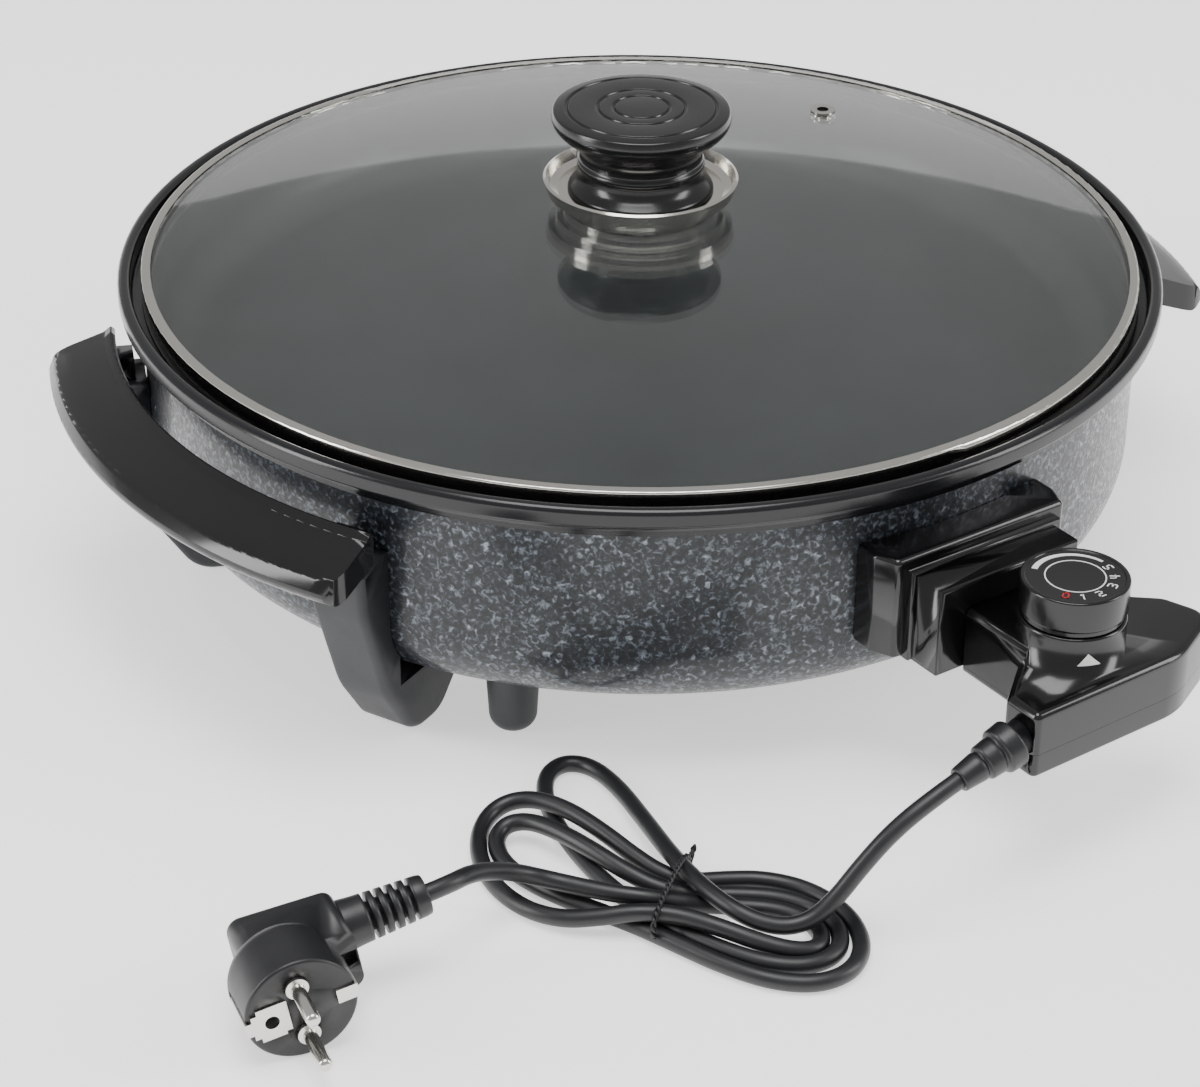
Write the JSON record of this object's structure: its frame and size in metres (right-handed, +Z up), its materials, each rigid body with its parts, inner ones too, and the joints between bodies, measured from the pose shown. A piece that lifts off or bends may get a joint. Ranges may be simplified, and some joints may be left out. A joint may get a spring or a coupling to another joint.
{
  "type": "electric pan",
  "caption": "Round electric frying pan with a glass lid, side handles, a plug-in thermostat control with a dial, and a mains cord tied in a hank with an angled plug.",
  "frame": {"origin": "on the pan's axis, in the plane of the feet's bottom faces, which is the surface that it stands on", "axes": "+Z up along the pan's axis; the handles lie on -X and +X; the thermostat control plugs in from -Y"},
  "size_m": [0.5306, 0.4906, 0.1784],
  "materials": {
    "tray_coating": "non-stick coating on die-cast aluminium, satin",
    "hammer_paint": "hammered enamel on sheet steel",
    "element_steel": "heat-darkened stainless sheath",
    "zinc_steel": "zinc-plated steel",
    "pin_nickel": "nickel-plated brass, bright",
    "ceramic_white": "unglazed steatite ceramic",
    "phenolic_gloss": "polished black phenolic",
    "phenolic_matt": "matt black phenolic",
    "lid_glass": "tempered clear glass",
    "ring_steel": "polished stainless steel",
    "seal_rubber": "silicone rubber",
    "contact_brass": "spring brass and bimetal",
    "cord_pvc": "satin black flexible PVC",
    "tie_wire": "plastic-coated tie wire"
  },
  "bodies": {
    "base": {"pan_tray": "tray_coating", "outer_casing": "hammer_paint", "heating_element": "element_steel", "element_clamps": "zinc_steel", "clamp_screws": "zinc_steel", "element_pins": "pin_nickel", "pin_insulators": "ceramic_white", "terminal_block": "ceramic_white", "probe_sleeve": "zinc_steel", "heat_shield": "zinc_steel", "centre_stud": "zinc_steel", "stud_spacers": "zinc_steel", "centre_washer": "zinc_steel", "centre_nut": "zinc_steel", "terminal_shroud": "phenolic_gloss", "shroud_screws": "zinc_steel", "handle_left": "phenolic_gloss", "leg_left_a": "phenolic_matt", "leg_left_b": "phenolic_matt", "foot_left_a": "phenolic_matt", "foot_left_b": "phenolic_matt", "handle_right": "phenolic_gloss", "leg_right_a": "phenolic_matt", "leg_right_b": "phenolic_matt", "foot_right_a": "phenolic_matt", "foot_right_b": "phenolic_matt", "leg_screws": "zinc_steel", "foot_screws": "zinc_steel"},
    "lid": {"lid_glass": "lid_glass", "lid_ring": "ring_steel", "knob_dish": "ring_steel", "lid_knob": "phenolic_gloss", "knob_screw": "zinc_steel", "knob_seal": "seal_rubber", "steam_vent": "ring_steel"},
    "control": {"control_top": "phenolic_gloss", "control_bottom": "phenolic_gloss", "control_screws": "zinc_steel", "contact_block": "phenolic_matt", "contact_sleeves": "contact_brass", "control_probe": "ring_steel", "thermostat_frame": "zinc_steel", "bimetal_strip": "contact_brass", "switch_contacts": "contact_brass", "cord_relief": "cord_pvc", "cord_drop": "cord_pvc", "cord_hank": "cord_pvc", "cord_tie": "tie_wire", "cord_lead": "cord_pvc", "plug_body": "cord_pvc", "plug_pins": "pin_nickel", "plug_earth_plate": "pin_nickel", "plug_earth_clip": "pin_nickel"},
    "dial": {"temperature_dial": "phenolic_gloss", "dial_spindle": "ring_steel"}
  },
  "joints": [
    {"name": "lid_lift", "type": "slide", "parent": "base", "child": "lid", "axis": [0, 0, 1], "range_m": [0, 0.12]},
    {"name": "control_pull", "type": "slide", "parent": "base", "child": "control", "axis": [0, -1, 0], "range_m": [0, 0.11]},
    {"name": "dial_turn", "type": "hinge", "parent": "control", "child": "dial", "pos_m": [0, -0.252, 0.09], "axis": [0, 0, -1], "range_deg": [0, 270]}
  ]
}
